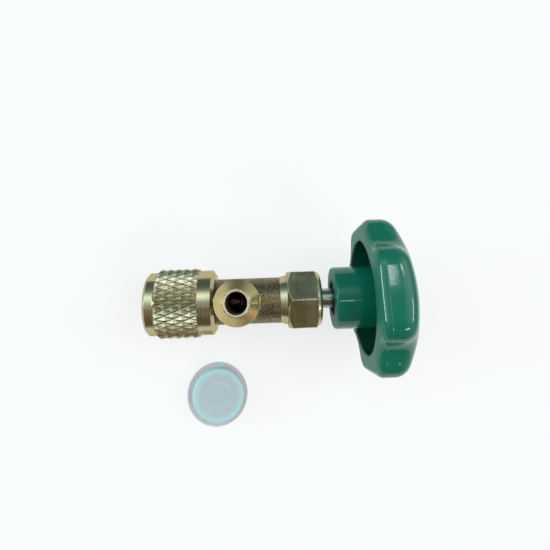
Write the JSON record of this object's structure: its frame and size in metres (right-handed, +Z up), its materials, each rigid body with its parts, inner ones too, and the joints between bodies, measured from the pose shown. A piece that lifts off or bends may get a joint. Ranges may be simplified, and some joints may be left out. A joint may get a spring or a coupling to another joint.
{
  "type": "refrigerant saving valve",
  "caption": "Inline charging valve: brass tee with a flare side port, a knurled swivel inlet nut and a threaded stem turned by a lobed plastic handwheel, with a loose dust cap.",
  "frame": {"origin": "centre of the bounding box of the lying valve with its cap beside it, at the table under them", "axes": "+X along the valve from the swivel nut towards the handwheel, level with the table; +Z up from the table, which is the side that the side port points to; +Y across the valve, away from the dust cap"},
  "size_m": [0.0688, 0.0512, 0.0382],
  "materials": {
    "forged_brass": "hot forged and sand textured, turned bright at its ends",
    "knurled_brass": "diamond knurled and turned",
    "hex_brass": "drawn hexagon bar with a turned boss",
    "gland_brass": "turned",
    "stem_steel": "turned and polished",
    "spring_steel": "drawn wire",
    "screw_steel": "zinc plated",
    "gasket_rubber": "moulded",
    "seal_rubber": "moulded",
    "packing_ptfe": "turned",
    "green_plastic": "injection moulded, glossy",
    "cap_plastic": "injection moulded, translucent"
  },
  "bodies": {
    "root": {"valve_body": "forged_brass", "packing_nut": "hex_brass", "gland_washer": "gland_brass", "stem_packing": "packing_ptfe", "gland_follower": "gland_brass", "nut_retaining_ring": "spring_steel", "inlet_gasket": "gasket_rubber", "dust_cap": "cap_plastic"},
    "nut": {"coupling_nut": "knurled_brass"},
    "seal": {"stem_o_ring": "seal_rubber"},
    "stem": {"valve_stem": "stem_steel", "handwheel": "green_plastic", "wheel_washer": "screw_steel", "wheel_screw": "screw_steel"}
  },
  "joints": [
    {"name": "nut_swivel", "type": "hinge", "parent": "root", "child": "nut", "pos_m": [-0.02441, 0.0065, 0.00972], "axis": [0.9824, 0, 0.1867], "continuous": true},
    {"name": "stem_travel", "type": "slide", "parent": "root", "child": "seal", "axis": [0.9824, 0, 0.1867], "range_m": [-0.0022, 0.0019]},
    {"name": "wheel_turn", "type": "hinge", "parent": "seal", "child": "stem", "pos_m": [0.02901, 0.0065, 0.01987], "axis": [0.9824, 0, 0.1867], "range_deg": [-630, 540]}
  ],
  "couplings": [
    {"joint": "stem_travel", "follows": "wheel_turn", "m_per_rad": 0.00019894}
  ]
}
